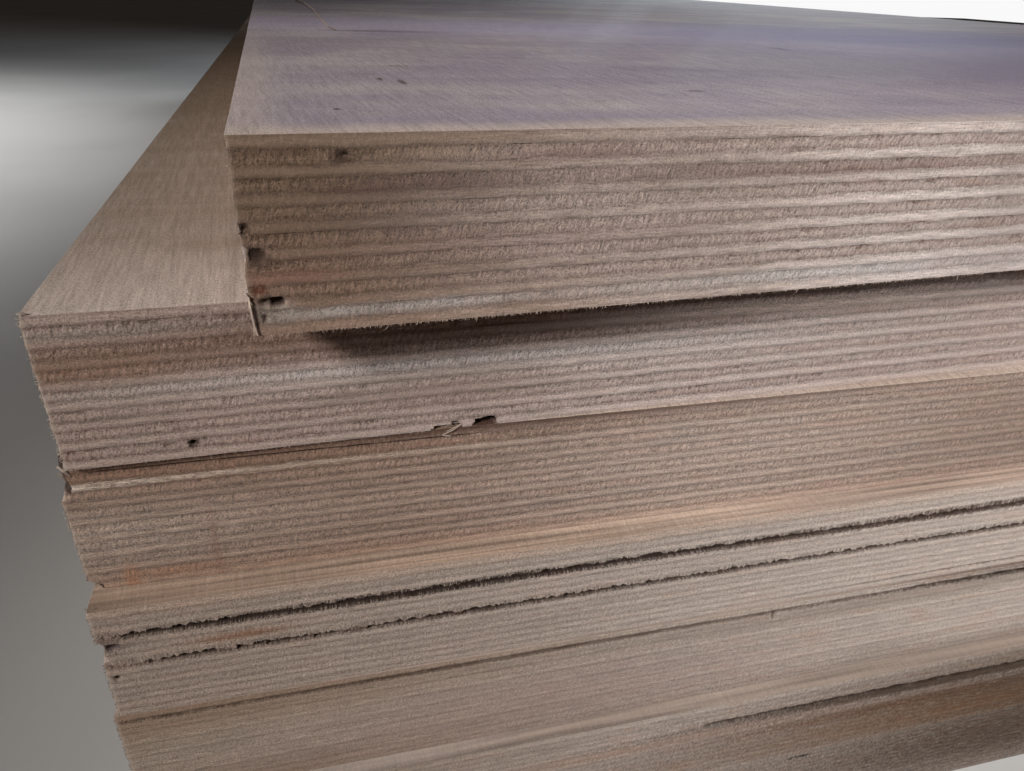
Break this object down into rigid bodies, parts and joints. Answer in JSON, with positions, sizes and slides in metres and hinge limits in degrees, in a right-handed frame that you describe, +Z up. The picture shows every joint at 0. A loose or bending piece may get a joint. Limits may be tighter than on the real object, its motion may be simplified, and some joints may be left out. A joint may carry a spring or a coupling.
{
  "type": "stack of door panels",
  "caption": "Loosely squared stack of thick plywood door panels lying flat, each panel a plain rectangular laminated board with raw sawn edges.",
  "frame": {"origin": "on the floor under the middle of the whole stack", "axes": "+Z up; +Y along the panels' long side, away from the front ends; +X along the short side, to the right seen from the front"},
  "size_m": [0.9048, 2.1376, 0.28],
  "materials": {
    "plywood": "raw sawn edges and smooth unfinished faces"
  },
  "bodies": {
    "root": {"panel_1": "plywood", "panel_2": "plywood", "panel_3": "plywood", "panel_4": "plywood", "panel_5": "plywood", "panel_6": "plywood", "panel_7": "plywood"}
  },
  "joints": []
}
